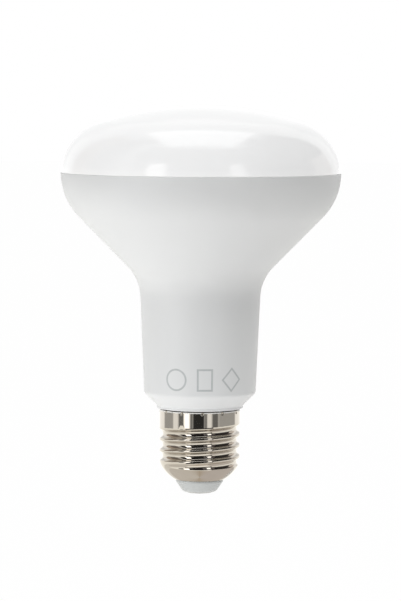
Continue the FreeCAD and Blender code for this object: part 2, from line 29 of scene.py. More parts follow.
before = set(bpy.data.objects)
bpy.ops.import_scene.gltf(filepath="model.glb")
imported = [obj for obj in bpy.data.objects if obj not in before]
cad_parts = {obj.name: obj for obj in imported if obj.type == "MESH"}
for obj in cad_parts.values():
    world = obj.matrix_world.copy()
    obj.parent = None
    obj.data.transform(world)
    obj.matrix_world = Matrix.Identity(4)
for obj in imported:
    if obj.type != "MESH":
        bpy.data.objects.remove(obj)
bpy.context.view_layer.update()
metres = 0.001
fullTurn = 2 * math.pi
tiny = 1e-6


# An arc about a centre, as points from one angle to the other
def arcLine(centre, radius, start, stop, count):
    angle = np.linspace(start, stop, count)
    return np.array(centre) + radius * np.stack([np.cos(angle), np.sin(angle)], axis=1)


# Each corner (out, up, rounding) becomes an arc that is tangent to its two sides
def roundedLine(corners, closed):
    corners = np.array(corners, float)
    count = len(corners)
    parts = []
    for index, (out, up, rounding) in enumerate(corners):
        corner = np.array([out, up])
        atEnd = not closed and index in (0, count - 1)
        if atEnd or rounding == 0:
            parts.append(corner[None, :])
            continue
        back = corners[index - 1][:2] - corner
        ahead = corners[(index + 1) % count][:2] - corner
        back /= np.linalg.norm(back)
        ahead /= np.linalg.norm(ahead)
        half = math.acos(np.clip(back @ ahead, -1, 1)) / 2
        middle = (back + ahead) / np.linalg.norm(back + ahead)
        centre = corner + middle * rounding / math.sin(half)
        first = corner + back * rounding / math.tan(half) - centre
        last = corner + ahead * rounding / math.tan(half) - centre
        start = math.atan2(first[1], first[0])
        sweep = (math.atan2(last[1], last[0]) - start + math.pi) % fullTurn - math.pi
        steps = max(4, int(abs(sweep) / math.radians(3 if rounding > 1 else 12)) + 1)
        parts.append(arcLine(centre, rounding, start, start + sweep, steps + 1))
    return np.concatenate(parts)


# Long sides get points near both ends, which keep the shading flat, and more at a steady step
# between them
def spacedLine(line, step, closed, near=0.15):
    ends = np.concatenate([line, line[:1]]) if closed else line
    parts = []
    for start, stop in zip(ends[:-1], ends[1:]):
        length = np.linalg.norm(stop - start)
        if length < tiny:
            continue
        places = [0.0]
        if length > 4 * near:
            inner = np.linspace(near, length - near, max(2, int(length / step) + 1))
            places += list(inner / length)
        parts.append(start + np.outer(places, stop - start))
    if not closed:
        parts.append(line[-1:])
    return np.concatenate(parts)


# A closed skin from rows of points round the axis; a row on the axis becomes one pole
def skinPiece(name, rows, node, material):
    count, columns = rows.shape[:2]
    poleStart = np.allclose(rows[0, :, :2], 0, atol=1e-9)
    poleStop = np.allclose(rows[-1, :, :2], 0, atol=1e-9)
    loops = not (poleStart and poleStop)
    body = rows if loops else rows[1:-1]
    depth = len(body)
    vertices = body.reshape(-1, 3)
    index = np.arange(depth * columns).reshape(depth, columns)
    lower = index if loops else index[:-1]
    upper = np.roll(index, -1, axis=0) if loops else index[1:]
    sides = [lower, np.roll(lower, -1, axis=1), np.roll(upper, -1, axis=1), upper]
    faces = np.stack(sides, axis=-1).reshape(-1, 4).tolist()
    if not loops:
        vertices = np.concatenate([vertices, rows[:1, 0], rows[-1:, 0]])
        first, last = depth * columns, depth * columns + 1
        start, stop = index[0], index[-1]
        faces += np.stack([np.full(columns, first), np.roll(start, -1), start], axis=1).tolist()
        faces += np.stack([stop, np.roll(stop, -1), np.full(columns, last)], axis=1).tolist()
    mesh = bpy.data.meshes.new(name)
    mesh.from_pydata((vertices * metres).tolist(), [], faces)
    mesh.validate()
    mesh.shade_smooth()
    mesh.materials.append(material)
    piece = bpy.data.objects.new(name, mesh)
    bpy.context.collection.objects.link(piece)
    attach(piece, "root")
    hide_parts(node)
    print("made", name, len(vertices), "points")
    return piece


# A profile of (out, up) points turned about the axis; columns go anticlockwise seen from above
def turned(line, columns):
    angle = np.linspace(0, fullTurn, columns, endpoint=False)
    out, up = line[:, :1], line[:, 1:]
    return np.stack([out * np.cos(angle), out * np.sin(angle), up + 0 * angle], axis=-1)


# The shader graph: a socket that adds Math nodes when it is used in arithmetic
class Flow:
    def __init__(self, graph, socket):
        self.graph = graph
        self.socket = socket

    # One Math node of a kind, with this flow first and the others after it
    def combine(self, kind, *others):
        node = self.graph.tree.nodes.new("ShaderNodeMath")
        node.operation = kind
        for place, item in zip(node.inputs, (self, *others)):
            self.graph.put(place, item)
        return Flow(self.graph, node.outputs[0])

    def __add__(self, other):
        return self.combine("ADD", other)

    def __sub__(self, other):
        return self.combine("SUBTRACT", other)

    def __mul__(self, other):
        return self.combine("MULTIPLY", other)

    def __truediv__(self, other):
        return self.combine("DIVIDE", other)

    def __rsub__(self, other):
        return (self * -1) + other

    __radd__ = __add__
    __rmul__ = __mul__


# The node tree of a material or of the world
class Graph:
    def __init__(self, holder):
        self.holder = holder
        holder.use_nodes = True
        self.tree = holder.node_tree

    # A socket takes a link from a flow, or a plain value
    def put(self, place, item):
        if isinstance(item, Flow):
            self.tree.links.new(item.socket, place)
        else:
            place.default_value = item

    # A new node: its settings first, then the values and links of its sockets
    def node(self, kind, settings=None, values=None, output=0):
        node = self.tree.nodes.new(kind)
        for key, value in (settings or {}).items():
            setattr(node, key, value)
        for key, value in (values or {}).items():
            self.put(node.inputs[key], value)
        return Flow(self, node.outputs[output]) if node.outputs else None

    # The place on the piece, in metres
    def place(self):
        return self.node("ShaderNodeTexCoord", output="Object")

    # How far a place lies along one axis
    def along(self, place, axis):
        return self.node("ShaderNodeSeparateXYZ", {}, {0: place}, axis)

    # Cloudy values between 0 and 1, of a scale per metre
    def noise(self, scale, detail, place=None):
        values = {"Vector": place or self.place(), "Scale": scale, "Detail": detail}
        return self.node("ShaderNodeTexNoise", {}, values, "Fac")

    # The first colour at factor 0, the second at 1
    def mixed(self, factor, first, second):
        values = {0: factor, 6: first, 7: second}
        return self.node("ShaderNodeMix", {"data_type": "RGBA"}, values, 2)

    # 0 at low, 1 at high, and a smooth rise between; low may be the larger one
    def between(self, value, low, high):
        settings = {"interpolation_type": "SMOOTHSTEP"}
        values = {"Value": value, "From Min": low, "From Max": high}
        return self.node("ShaderNodeMapRange", settings, values)

    # A relief that tilts the shading
    def bump(self, height, strength, distance):
        values = {"Height": height, "Strength": strength, "Distance": distance}
        return self.node("ShaderNodeBump", {}, values)

    # Values and links of the surface shader's sockets; an underscore stands for a space
    def finish(self, **values):
        surface = self.tree.nodes["Principled BSDF"]
        for key, value in values.items():
            self.put(surface.inputs[key.replace("_", " ")], value)
        return self.holder


# A new material's graph
def newGraph(name):
    return Graph(bpy.data.materials.new(name))


domeValues = {
    "rim": 45.2,
    "seam": 103.8,
    "tongue": 42.35,
    "tongueDepth": 4.0,
    "draft": math.radians(5.0),
    "rimHeight": 0.6,
    "knuckle": 18.2,
    "rise": 4.1,
    "edge": 0.22,
    "columns": 256,
    "look": {
        "rimTop": 0.1065,
        "rimFoot": 0.104,
        "tone": (0.54, 0.543, 0.546, 1),
        # painted light: the lighter tone at the rim stands in for the bright band just above the
        # seam
        "paintedRimLight": (0.58, 0.58, 0.58, 1),
        # painted light: a steady glow that stands in for studio light spreading through the opal
        "glow": 0.3,
    },
}


# Opal plastic: a little lighter at the rim, which is painted light for the bright band just above
# the seam, a faint grain, and a steady painted glow that stands in for the studio light that passes
# through it
def opalPlastic(v):
    graph = newGraph("opalPlastic")
    # the share of the rim's painted light, from none at the rim's top to its fullest at its foot
    rim = graph.between(graph.along(graph.place(), "Z"), v["rimTop"], v["rimFoot"])
    cloud = graph.noise(38, 2)
    return graph.finish(
        Base_Color=graph.mixed(rim * 0.5 + cloud * 0.2, v["tone"], v["paintedRimLight"]),
        Roughness=graph.noise(60, 2) * 0.04 + 0.1,
        Normal=graph.bump(graph.noise(420, 3), 0.02, 0.0004),
        IOR=1.5,
        # painted glow for the studio light that passes through the opal
        Emission_Color=(1, 1, 1, 1),
        Emission_Strength=v["glow"],
    )


# Dome: a drafted rim, a knuckle arc and a shallow crown arc tangent to it, over a tongue that hides
# in the housing
def makeDome(v):
    drawnIn = v["rimHeight"] * math.tan(v["draft"])
    rimTop = np.array([v["rim"] - drawnIn, v["seam"] + v["rimHeight"]])
    centre = rimTop - v["knuckle"] * np.array([math.cos(v["draft"]), math.sin(v["draft"])])
    reach = v["knuckle"] + v["rise"]
    crown = (centre[0] ** 2 + reach**2 - v["knuckle"] ** 2) / (2 * v["rise"])
    top = centre[1] + reach
    meeting = math.atan2(centre[1] - (top - crown), centre[0])
    floor = v["seam"] - v["tongueDepth"]
    under = roundedLine(
        [
            (0, floor, 0),
            (v["tongue"], floor, v["edge"]),
            (v["tongue"], v["seam"], v["edge"]),
            (v["rim"], v["seam"], v["edge"]),
            (rimTop[0], rimTop[1], 0),
        ],
        False,
    )
    knuckle = arcLine(centre, v["knuckle"], v["draft"], meeting, 48)[1:]
    dish = arcLine((0, top - crown), crown, meeting, math.pi / 2, 30)[1:]
    dish[-1, 0] = 0
    rows = turned(np.concatenate([spacedLine(under, 4, False), knuckle, dish]), v["columns"])
    return skinPiece("opalDome", rows, "diffuser_dome", opalPlastic(v["look"]))


housingValues = {
    "rim": 45.2,
    "seam": 103.8,
    "rebate": 42.5,
    "rebateDepth": 4.15,
    "shoulder": 20.4,
    "flare": math.radians(44.5),
    "blend": 14.7,
    "neck": 18.05,
    "neckHeight": 33.38,
    "neckDraft": math.radians(2.5),
    "neckEdge": 1.7,
    "bevel": math.radians(45.0),
    "bevelFoot": 28.6,
    "collar": 13.9,
    "collarFoot": 27.7,
    "collarEdge": 0.3,
    "spigot": 12.6,
    "spigotFoot": 23.7,
    "spigotNeck": 12.35,
    "spigotLedge": 26.85,
    "edge": 0.22,
    "columns": 256,
    "look": {
        "darkTone": (0.585, 0.595, 0.60, 1),
        "paleTone": (0.615, 0.62, 0.62, 1),
        "inkTone": (0.33, 0.355, 0.36, 1),
        "neck": 0.0183,
        "height": 0.0382,
        "thick": 0.0006,
        "soft": 0.00005,
        "slant": 0.72,
        # kind, how far to the right of the middle, then half width and half height
        "signs": [
            ("ring", -0.0079, (0.0033, 0.0033)),
            ("box", 0.0016, (0.0023, 0.0033)),
            ("diamond", 0.0107, (0.0032, 0.0036)),
        ],
    },
}


# The share of ink of a ring, box or diamond drawn as a line: 1 on its outline, 0 off it, by the
# distance from that outline
def outlineShare(graph, kind, across, up, middle, reach, v):
    aside = (across - middle).combine("ABSOLUTE")
    above = (up - v["height"]).combine("ABSOLUTE")
    if kind == "ring":
        away = (aside * aside + above * above).combine("SQRT") - reach[0]
    elif kind == "box":
        away = (aside - reach[0]).combine("MAXIMUM", above - reach[1])
    else:
        away = (aside * (reach[1] / reach[0]) + above - reach[1]) * v["slant"]
    half = v["thick"] / 2
    return graph.between(away.combine("ABSOLUTE"), half + v["soft"], half - v["soft"])


# Satin plastic: finely grained and faintly clouded, with the signs' thin ink lines round the neck
def satinPlastic(v):
    graph = newGraph("satinPlastic")
    place = graph.place()
    side, depth, height = [graph.along(place, axis) for axis in "XYZ"]
    across = side.combine("ARCTAN2", depth * -1) * v["neck"]
    ink = None
    for kind, middle, reach in v["signs"]:
        share = outlineShare(graph, kind, across, height, middle, reach, v)
        ink = share if ink is None else ink.combine("MAXIMUM", share)
    plain = graph.mixed(graph.noise(30, 2), v["darkTone"], v["paleTone"])
    return graph.finish(
        Base_Color=graph.mixed(ink * (graph.noise(900, 2) * 0.3 + 0.6), plain, v["inkTone"]),
        Roughness=graph.noise(90, 2) * 0.08 + 0.42,
        Normal=graph.bump(graph.noise(2600, 3), 0.12, 0.0002),
        IOR=1.46,
    )


# Housing: shoulder, flare, blend, neck, rounded edge, bevel and collar, with the spigot below
def makeHousing(v):
    shoulderCentre = np.array([v["rim"] - v["shoulder"], v["seam"]])
    flareWay = np.array([math.cos(v["flare"]), -math.sin(v["flare"])])
    flareTop = shoulderCentre + v["shoulder"] * flareWay
    slope, draft = math.tan(v["flare"]), math.tan(v["neckDraft"])
    # the flare's line meets the rim's upright line and the neck's line where the arcs have corners
    shoulderCorner = (v["rim"], flareTop[1] + (v["rim"] - flareTop[0]) / slope)
    neckStart = v["neck"] - v["neckHeight"] * draft
    flareStart = flareTop[0] - flareTop[1] * slope
    up = (neckStart - flareStart) / (slope - draft)
    blendCorner = (neckStart + up * draft, up)
    bevelSlope = math.tan(v["bevel"])
    bevelStart = v["collar"] - v["bevelFoot"] * bevelSlope
    low = (neckStart - bevelStart) / (bevelSlope - draft)
    edgeCorner = (neckStart + low * draft, low)
    line = roundedLine(
        [
            (0, v["spigotFoot"], 0),
            (v["spigot"], v["spigotFoot"], 0.1),
            (v["spigot"], v["spigotLedge"], 0.03),
            (v["spigotNeck"], v["spigotLedge"], 0.03),
            (v["spigotNeck"], v["collarFoot"], 0.05),
            (v["collar"], v["collarFoot"], v["collarEdge"]),
            (v["collar"], v["bevelFoot"], 0.25),
            (*edgeCorner, v["neckEdge"]),
            (*blendCorner, v["blend"]),
            (*shoulderCorner, v["shoulder"]),
            (v["rim"], v["seam"], 0),
            (v["rim"] - v["edge"], v["seam"], 0),
            (v["rebate"], v["seam"], v["edge"]),
            (v["rebate"], v["seam"] - v["rebateDepth"], v["edge"]),
            (0, v["seam"] - v["rebateDepth"], 0),
        ],
        False,
    )
    # a small round takes the place of the corner at the rim
    high = line[:, 1] > v["seam"] - v["edge"]
    outer = line[:, 0] > v["rim"] - v["edge"]
    line = line[~(high & outer)]
    turn = arcLine((v["rim"] - v["edge"], v["seam"] - v["edge"]), v["edge"], 0, math.pi / 2, 7)
    atSeam = line[:, 1] > v["seam"] - tiny
    inside = line[:, 0] <= v["rim"] - v["edge"] + tiny
    after = int(np.argmax(atSeam & inside))
    line = np.concatenate([line[:after], turn, line[after:]])
    rows = turned(spacedLine(line, 2.0, False), v["columns"])
    material = satinPlastic(v["look"])
    return skinPiece("satinHousing", rows, "reflector_housing", material)


shellValues = {
    "band": 13.05,
    "top": 27.55,
    "sheet": 0.3,
    "lip": 0.6,
    "boreStep": 23.6,
    "boreEdge": 0.1,
    "bore": 11.65,
    "cornerHeight": 11.8,
    "corner": 6.5,
    "cornerTurn": math.radians(35.0),
    "bowl": 12.5,
    "foot": 7.9,
    "pitch": 3.629,
    "crestArc": 0.65,
    "rootArc": 1.4,
    "riseOver": 0.33,
    "grooveHeight": 21.26,
    "threadTop": 21.2,
    "threadFoot": 9.9,
    "fade": 2.4,
    "blend": 0.06,
    "crimps": 12,
    "crimpPhase": math.radians(4.0),
    "crimpRadius": 0.5,
    "crimpDepth": 0.35,
    "crimpDrop": 0.8,
    "markTurn": math.radians(-26.5),
    "markTop": 26.2,
    "markFoot": 21.6,
    "markWidth": 1.0,
    "markEdge": 0.3,
    "markDepth": 0.1,
    "markTip": 0.12,
    "markPower": 7,
    "rowStep": 0.095,
    "rowEnd": 0.05,
    "columns": 384,
    "nearColumns": 12,
    "nearReach": 0.62,
    "look": {
        "darkTone": (0.56, 0.52, 0.46, 1),
        "paleTone": (0.61, 0.575, 0.52, 1),
        # painted light: a pale highlight for the lip's edge, then a painted shadow line at the
        # joint under the collar
        "paintedEdgeHighlight": (0.75, 0.74, 0.72, 1),
        "paintedJointShadow": (0.06, 0.058, 0.055, 1),
        "low": 0.02690,
        "high": 0.02732,
        "soft": 0.00007,
        "band": 0.01305,
        "crimps": 12,
        "crimpPhase": math.radians(4.0),
        "notch": 0.00045,
        "drawn": (60, 60, 2600),
    },
}


# Plated sheet: bright metal with faint lines round it from drawing, a pale, rougher and less
# metallic upper edge that each crimp breaks, which is a painted highlight for the rolled lip
# catching the light, and a painted shadow line at the joint above it
def platedShell(v):
    graph = newGraph("platedShell")
    place = graph.place()
    side, depth, height = [graph.along(place, axis) for axis in "XYZ"]
    drawn = graph.node("ShaderNodeVectorMath", {"operation": "MULTIPLY"}, {0: place, 1: v["drawn"]})
    step = fullTurn / v["crimps"]
    turn = depth.combine("ARCTAN2", side) - v["crimpPhase"]
    aside = turn.combine("WRAP", step / 2, -step / 2).combine("ABSOLUTE") * v["band"]
    whole = graph.between(aside, v["notch"] - v["soft"], v["notch"] + v["soft"])
    above = graph.between(height, v["low"], v["low"] + v["soft"])
    below = graph.between(height, v["high"], v["high"] - v["soft"])
    # the painted highlight of the lip's edge, between low and high, broken at each crimp
    edge = above * below * whole
    # the painted shadow line at the joint, from high upward
    jointShadow = graph.between(height, v["high"] - v["soft"], v["high"])
    plain = graph.mixed(graph.noise(220, 3), v["darkTone"], v["paleTone"])
    withEdgeHighlight = graph.mixed(edge, plain, v["paintedEdgeHighlight"])
    return graph.finish(
        Base_Color=graph.mixed(jointShadow, withEdgeHighlight, v["paintedJointShadow"]),
        Metallic=edge * -0.85 + 1,
        Roughness=graph.noise(160, 2) * 0.04 + 0.03 + edge * 0.4,
        Normal=graph.bump(graph.noise(1, 3, drawn), 0.03, 0.0001),
    )


# 0 below 0, 1 above 1, and a smooth rise between
def ease(value):
    value = np.clip(value, 0, 1)
    return value * value * (3 - 2 * value)


# The smaller of two values, rounded where they meet
def softLess(first, second, blend):
    return (first + second - np.sqrt((first - second) ** 2 + blend**2)) / 2


# The rolled groove, as a radius at an angle and a height: hollow arcs and crest arcs that meet on
# the flank, on a right-hand helix that rises out of the barrel at both its ends
def grooveSkin(v, angle, up):
    both = v["crestArc"] + v["rootArc"]
    flank = math.asin(v["pitch"] / 2 / both)
    depth = both * (1 - math.cos(flank))
    along = (up - v["grooveHeight"]) / v["pitch"] - angle / fullTurn
    away = (along - np.round(along)) * v["pitch"]
    centre = up - away
    size = np.abs(away)
    hollow = v["rootArc"] - np.sqrt(np.maximum(v["rootArc"] ** 2 - size**2, 0))
    beside = v["pitch"] / 2 - size
    crest = depth - v["crestArc"] + np.sqrt(np.maximum(v["crestArc"] ** 2 - beside**2, 0))
    section = np.where(size < v["rootArc"] * math.sin(flank), hollow, crest)
    low, high = v["threadFoot"] - v["fade"], v["threadTop"] + v["fade"]
    sunk = ease((high - centre) / v["fade"]) * ease((centre - low) / v["fade"])
    lift = (depth + v["riseOver"]) * (1 - sunk)
    return v["band"] - depth + lift + section


# How far the skin is pressed in by the crimps and by the tear-shaped mark above the thread
def pressedIn(v, angle, up):
    step = fullTurn / v["crimps"]
    aside = (angle - v["crimpPhase"] + step / 2) % step - step / 2
    across = aside * v["band"]
    off = np.sqrt(across**2 + (up - v["top"] + v["crimpDrop"]) ** 2)
    ball = v["crimpRadius"] - v["crimpDepth"]
    dent = np.sqrt(np.maximum(v["crimpRadius"] ** 2 - off**2, 0)) - ball
    dent = np.maximum(dent, 0)
    turn = (angle - (v["markTurn"] - math.pi / 2) + math.pi) % fullTurn - math.pi
    along = np.clip((v["markTop"] - up) / (v["markTop"] - v["markFoot"]), 0, 1)
    width = v["markWidth"] * (v["markTip"] + (1 - v["markTip"]) * along)
    foot = ease((up - v["markFoot"]) / v["markEdge"])
    flank = ease((width - np.abs(turn * v["band"])) / v["markEdge"])
    return dent + v["markDepth"] * along ** v["markPower"] * foot * flank


# Angles of the columns: each crimp has close ones about it, and the rest are evenly spread
def columnAngles(v):
    period = fullTurn / v["crimps"]
    near = v["nearReach"] / v["band"]
    inner = np.linspace(-near, near, v["nearColumns"] + 1)
    others = v["columns"] // v["crimps"] - v["nearColumns"]
    outer = np.linspace(near, period - near, others + 1)[1:-1]
    one = np.concatenate([inner, outer]) + v["crimpPhase"]
    return (one[None, :] + period * np.arange(v["crimps"])[:, None]).ravel()


# Cap shell: one loop of sheet from the foot up the outside, round the curled lip, and back down
# inside; the outside is sunk by the groove and the dents
def makeShell(v):
    corner = np.array([v["band"] - v["corner"], v["cornerHeight"]])
    turn = v["cornerTurn"]
    bowl = corner + (v["bowl"] - v["corner"]) * np.array([-math.cos(turn), math.sin(turn)])
    opening = math.acos((v["foot"] - bowl[0]) / v["bowl"])
    inner = v["bowl"] - v["sheet"]
    shelf = math.acos((v["bore"] - bowl[0]) / inner)
    curl = np.array([v["band"] - v["lip"], v["top"] - v["lip"]])
    # going up the outside, rows are close through the thread and the crimps
    wide = arcLine(bowl, v["bowl"], -opening, -turn, 16)
    bend = arcLine(corner, v["corner"], -turn, 0, 34)[1:]
    barrel = np.arange(v["cornerHeight"] + v["rowStep"], curl[1] - v["rowEnd"], v["rowStep"])
    barrel = np.stack([np.full(len(barrel), v["band"]), barrel], axis=1)
    lip = arcLine(curl, v["lip"], 0, math.pi / 2, 10)
    under = arcLine(curl, v["lip"] - v["sheet"], math.pi / 2, 0, 6)
    bandBore = v["band"] - v["sheet"]
    ledge = v["boreStep"]
    steps = [[bandBore, ledge + v["boreEdge"]], [bandBore, ledge], [v["bore"], ledge]]
    hollow = arcLine(bowl, inner, -shelf, -opening, 8)
    line = np.concatenate([wide, bend, barrel, lip, under, steps, hollow])
    skin = len(wide) + len(bend) + len(barrel) + len(lip)
    theta = columnAngles(v)
    out = np.repeat(line[:, :1], len(theta), axis=1)
    up = np.repeat(line[:, 1:], len(theta), axis=1)
    turns = np.repeat(theta[None, :], len(line), axis=0)
    face = slice(0, skin)
    out[face] = softLess(out[face], grooveSkin(v, turns[face], up[face]), v["blend"])
    out[face] -= pressedIn(v, turns[face], up[face])
    rows = np.stack([out * np.cos(turns), out * np.sin(turns), up], axis=-1)
    return skinPiece("platedShell", rows, "screw_shell", platedShell(v["look"]))


insulatorValues = {
    "foot": 0.4,
    "top": 8.6,
    "bore": 1.35,
    "throat": 7.65,
    "rimCorner": 3.853,
    "rimEdge": 0.4,
    "seat": 4.74,
    "flange": 10.2,
    "flangeFoot": 6.69,
    "draft": math.radians(34.0),
    "lip": 2.0,
    "columns": 160,
    "look": {"darkTone": (0.372, 0.385, 0.38, 1), "paleTone": (0.407, 0.421, 0.417, 1)},
}


# Pale moulded plastic, faintly clouded and smooth
def insulatorPlastic(v):
    graph = newGraph("insulatorPlastic")
    return graph.finish(
        Base_Color=graph.mixed(graph.noise(120, 3), v["darkTone"], v["paleTone"]),
        Roughness=graph.noise(200, 2) * 0.08 + 0.3,
        Normal=graph.bump(graph.noise(1800, 2), 0.05, 0.0002),
        IOR=1.5,
    )


# Insulator: a short rim, a cone and a wide rounding below, and a flange that rests on the sheet
# inside the foot
def makeInsulator(v):
    coneFoot = v["throat"] - (v["rimCorner"] - v["foot"]) * math.tan(v["draft"])
    line = roundedLine(
        [
            (v["bore"], v["foot"], 0.05),
            (coneFoot, v["foot"], v["lip"]),
            (v["throat"], v["rimCorner"], v["rimEdge"]),
            (v["throat"], v["seat"], 0.05),
            (v["flange"], v["flangeFoot"], 0.1),
            (v["flange"], v["top"], 0.1),
            (v["bore"], v["top"], 0.1),
        ],
        True,
    )
    rows = turned(spacedLine(line, 1.0, True), v["columns"])
    material = insulatorPlastic(v["look"])
    return skinPiece("insulatorCone", rows, "cap_insulator", material)


contactValues = {
    "head": 4.1,
    "flat": 2.4,
    "rimFoot": 0.25,
    "seat": 0.4,
    "stem": 1.3,
    "top": 8.6,
    "rivet": 2.2,
    "rivetTop": 9.2,
    "columns": 128,
    "look": {"darkTone": (0.46, 0.455, 0.44, 1), "paleTone": (0.54, 0.53, 0.51, 1)},
}


# Dull plating, a little uneven in tone and sheen
def platedContact(v):
    graph = newGraph("platedContact")
    return graph.finish(
        Base_Color=graph.mixed(graph.noise(400, 3), v["darkTone"], v["paleTone"]),
        Metallic=1.0,
        Roughness=graph.noise(500, 2) * 0.12 + 0.38,
        Normal=graph.bump(graph.noise(2400, 2), 0.08, 0.0001),
    )


# Contact: a shallow head with a small flat, on a stem that is upset above the insulator
def makeContact(v):
    line = roundedLine(
        [
            (0, 0, 0),
            (v["flat"], 0, 0.4),
            (v["head"], v["rimFoot"], 0.06),
            (v["head"], v["seat"], 0.05),
            (v["stem"], v["seat"], 0.05),
            (v["stem"], v["top"], 0.05),
            (v["rivet"], v["top"], 0.1),
            (v["rivet"], v["rivetTop"], 0.2),
            (0, v["rivetTop"], 0),
        ],
        False,
    )
    rows = turned(spacedLine(line, 0.8, False), v["columns"])
    material = platedContact(v["look"])
    return skinPiece("contactRivet", rows, "centre_contact", material)


makeDome(domeValues)
makeHousing(housingValues)
makeShell(shellValues)
makeInsulator(insulatorValues)
makeContact(contactValues)
print("pieces done")

stageValues = {
    "floor": -0.06,
    "floorHalf": 6.0,
    "floorTone": (0.88, 0.875, 0.865, 1),
    "floorWhite": 0.99,
    "ambient": (0.45, 0.45, 0.45, 1),
    "camera": (0.0, -1.1, 0.138),
    "aim": 0.062,
    "lens": 204.3,
    "shift": (0.0003, 0.0025),
    "roll": math.radians(0.28),
    "farthest": 20,
}


# A material that only glows: in one tone, or else in the tones that the mesh keeps for its points
def glowMaterial(name, tone=None, strength=1.0):
    graph = newGraph(name)
    graph.tree.nodes.clear()
    if tone is None:
        colour = graph.node("ShaderNodeAttribute", {"attribute_name": "tone"}, output="Color")
    else:
        colour = (*tone, 1)
    glow = graph.node("ShaderNodeEmission", {}, {"Color": colour, "Strength": strength})
    graph.node("ShaderNodeOutputMaterial", {}, {"Surface": glow})
    return graph.holder


# A mesh of the stage, which isn't part of the lamp
def stageMesh(name, vertices, faces, material):
    mesh = bpy.data.meshes.new(name)
    mesh.from_pydata(np.asarray(vertices, float).tolist(), [], np.asarray(faces).tolist())
    mesh.materials.append(material)
    piece = bpy.data.objects.new(name, mesh)
    bpy.context.collection.objects.link(piece)
    return piece


# Only reflections see it: no camera ray, no lighting of dull surfaces and no shadow
def onlyReflected(piece):
    piece.visible_camera = False
    piece.visible_diffuse = False
    piece.visible_shadow = False
    return piece


# Tones per point, kept as a colour attribute that the glow reads
def keepTones(piece, tones):
    store = piece.data.color_attributes.new("tone", "FLOAT_COLOR", "POINT")
    store.data.foreach_set("color", np.column_stack([tones, np.ones(len(tones))]).ravel())


# Points on a level circle about the axis: azimuths run from the camera's side to the right
def circleRow(turn, radius, height):
    return np.stack([radius * np.sin(turn), -radius * np.cos(turn), height + 0 * turn], axis=1)


# An upright wall on a circle: one row of points at its low edge and one at its high edge
def roundWall(name, azimuths, radius, low, high, tone=None):
    turn = np.radians(azimuths)
    count = len(turn)
    index = np.arange(count - 1)
    rows = [circleRow(turn, radius, low), circleRow(turn, radius, high)]
    faces = np.stack([index, index + 1, count + index + 1, count + index], axis=1)
    wall = stageMesh(name, np.concatenate(rows), faces, glowMaterial(name, tone))
    return onlyReflected(wall)


# The corners of a level square: half its side, how far back its middle lies, and its height
def levelSquare(half, middle, height):
    return [(x * half, middle + y * half, height) for x, y in ((-1, -1), (1, -1), (1, 1), (-1, 1))]


# Cards that only reflections see: azimuths from the camera in degrees, positive to the right, then
# low and high edge in metres, and the tone
cards = {
    "frontCard": (-62, 62, 0.05, 1.15, (0.018, 0.017, 0.017)),
    "rightHighCard": (62, 104, 0.05, 1.6, (0.04, 0.035, 0.033)),
    "rightBackCard": (104, 132, 0.05, 0.33, (0.80, 0.73, 0.68)),
    "rightBackHighCard": (104, 132, 0.33, 1.2, (0.12, 0.105, 0.10)),
    "leftHighCard": (-74, -60, 0.05, 0.7, (0.60, 0.58, 0.55)),
    "leftDimCard": (-104, -74, 0.05, 1.6, (0.20, 0.17, 0.15)),
    "leftBackCard": (-128, -104, 0.05, 1.0, (0.48, 0.40, 0.33)),
    "backCard": (132, 232, 0.05, 1.75, (1.12, 1.11, 1.10)),
}
# Narrower ones that stand just inside them
strips = {
    "leftStrip": (-46, -31, 0.05, 0.13, (2.1, 2.08, 2.04)),
    "leftHighStrip": (-44, -28.5, 0.13, 0.42, (2.9, 2.88, 2.84)),
    "rightShade": (12, 22, 0.05, 0.6, (0.15, 0.14, 0.145)),
    "rightStrip": (23, 34, 0.05, 0.13, (1.1, 1.08, 1.08)),
    "rightHighStrip": (24, 36, 0.13, 0.42, (2.3, 2.28, 2.26)),
    "rightDim": (36, 50, 0.05, 0.6, (0.14, 0.12, 0.12)),
    "backStrip": (150, 210, 0.12, 0.5, (0.84, 0.84, 0.84)),
}
cardRadius = 0.62
stripRadius = 0.61


# A card of one tone, with a point about every 4 degrees
def makeCard(name, values, radius):
    start, stop, low, high, tone = values
    azimuths = np.linspace(start, stop, max(2, int((stop - start) / 4) + 1))
    return roundWall(name, azimuths, radius, low, high, tone)


for name, values in cards.items():
    makeCard(name, values, cardRadius)
for name, values in strips.items():
    makeCard(name, values, stripRadius)

# A square card above, a little to the front
topCard = {"half": 0.25, "middle": -0.02, "height": 0.74, "strength": 2.6}


def makeTopCard(v):
    corners = levelSquare(v["half"], v["middle"], v["height"])
    material = glowMaterial("topCard", (1, 1, 1), v["strength"])
    return onlyReflected(stageMesh("topCard", corners, [(0, 1, 2, 3)], material))


makeTopCard(topCard)

# A low wall of soft-edged cards: azimuths from and to, and one of its levels; the back is its rest
lowWall = {
    "radius": 0.63,
    "low": -0.06,
    "high": 0.05,
    "soft": 8.0,
    "tint": (1.0, 0.99, 0.97),
    "levels": {
        "dark": 0.036,
        "dim": 0.19,
        "grey": 0.5,
        "pale": 1.15,
        "white": 1.27,
        "bright": 2.15,
    },
    "back": "white",
    "cards": [
        (-120, -80, "grey"),
        (-80, -63, "pale"),
        (-63, -45, "dim"),
        (-45, -28, "bright"),
        (-28, -20, "dim"),
        (-20, 14, "dark"),
        (14, 22, "dim"),
        (22, 35, "pale"),
        (35, 55, "dim"),
        (55, 120, "grey"),
    ],
}


# The low wall's tone at an azimuth: each card's share, with eased edges, over the back's level,
# times the tint
def makeLowWall(v):
    azimuths = np.arange(-180, 181, 1.0)
    level = np.full(len(azimuths), v["levels"][v["back"]])
    for start, stop, kind in v["cards"]:
        rise = ease((azimuths - start) / v["soft"] + 0.5)
        share = rise * ease((stop - azimuths) / v["soft"] + 0.5)
        level = level * (1 - share) + v["levels"][kind] * share
    tone = np.outer(level, v["tint"])
    wall = roundWall("lowWall", azimuths, v["radius"], v["low"], v["high"])
    keepTones(wall, np.concatenate([tone, tone]))


makeLowWall(lowWall)

